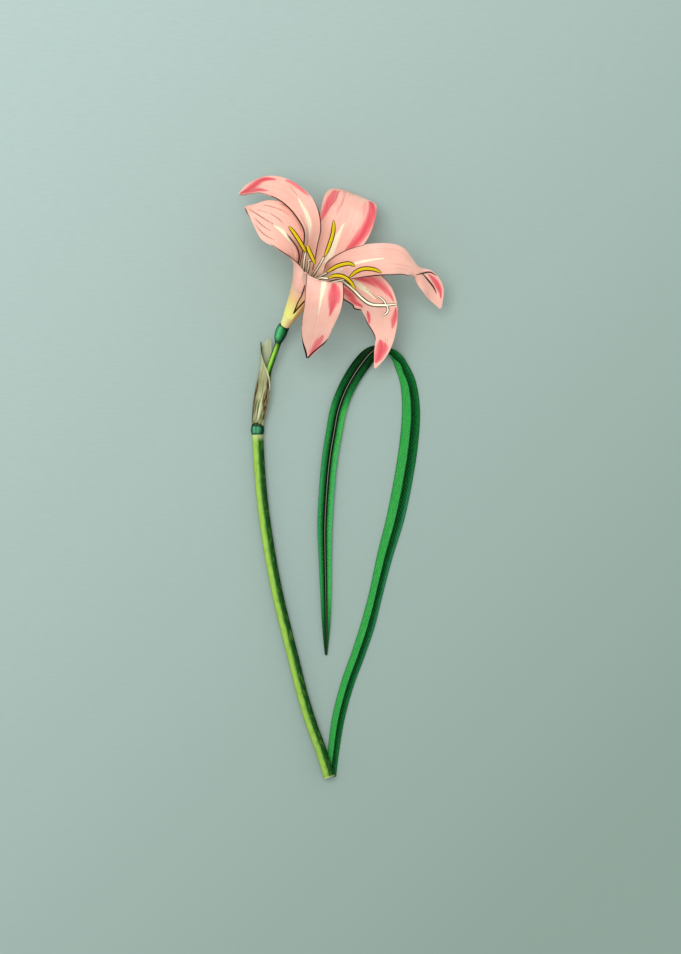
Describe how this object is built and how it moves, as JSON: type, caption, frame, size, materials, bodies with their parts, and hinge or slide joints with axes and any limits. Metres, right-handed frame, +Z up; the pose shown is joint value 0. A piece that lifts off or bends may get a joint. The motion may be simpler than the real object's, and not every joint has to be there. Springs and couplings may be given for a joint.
{
  "type": "cut rain lily",
  "caption": "Cut spofforth rain lily lying down: a pink trumpet flower with yellow anthers on a slender green scape, and a long strap leaf that arches over and back.",
  "frame": {"origin": "middle of the bounding box in X and Y, on the surface that the cut flower lies on", "axes": "+Y from the cut end of the scape towards the flower, +X towards the leaf, +Z up from the surface"},
  "size_m": [0.0676, 0.1987, 0.0406],
  "materials": {
    "stalk": "smooth, slightly waxy green stalk",
    "collar": "smooth blue-green",
    "spathe": "dry, papery, straw brown with green ribs",
    "ovary": "smooth, glossy dark green",
    "tube": "soft yellow-green petal",
    "tepal": "soft matte pink petal with rose flushes and a pale midrib stripe",
    "filament": "smooth cream",
    "anther": "powdery yellow pollen",
    "style": "smooth cream",
    "leaf": "smooth, slightly glossy green leaf"
  },
  "bodies": {
    "root": {"scape": "stalk", "spathe_collar": "collar", "spathe": "spathe", "pedicel": "stalk", "ovary": "ovary", "perianth_tube": "tube", "tepal_outer_left": "tepal", "tepal_outer_top": "tepal", "tepal_outer_right": "tepal", "tepal_inner_left": "tepal", "tepal_inner_right": "tepal", "tepal_inner_front": "tepal", "filament_1": "filament", "filament_2": "filament", "filament_3": "filament", "filament_4": "filament", "filament_5": "filament", "filament_6": "filament", "anther_1": "anther", "anther_2": "anther", "anther_3": "anther", "anther_4": "anther", "anther_5": "anther", "anther_6": "anther", "style": "style", "leaf": "leaf"}
  },
  "joints": []
}
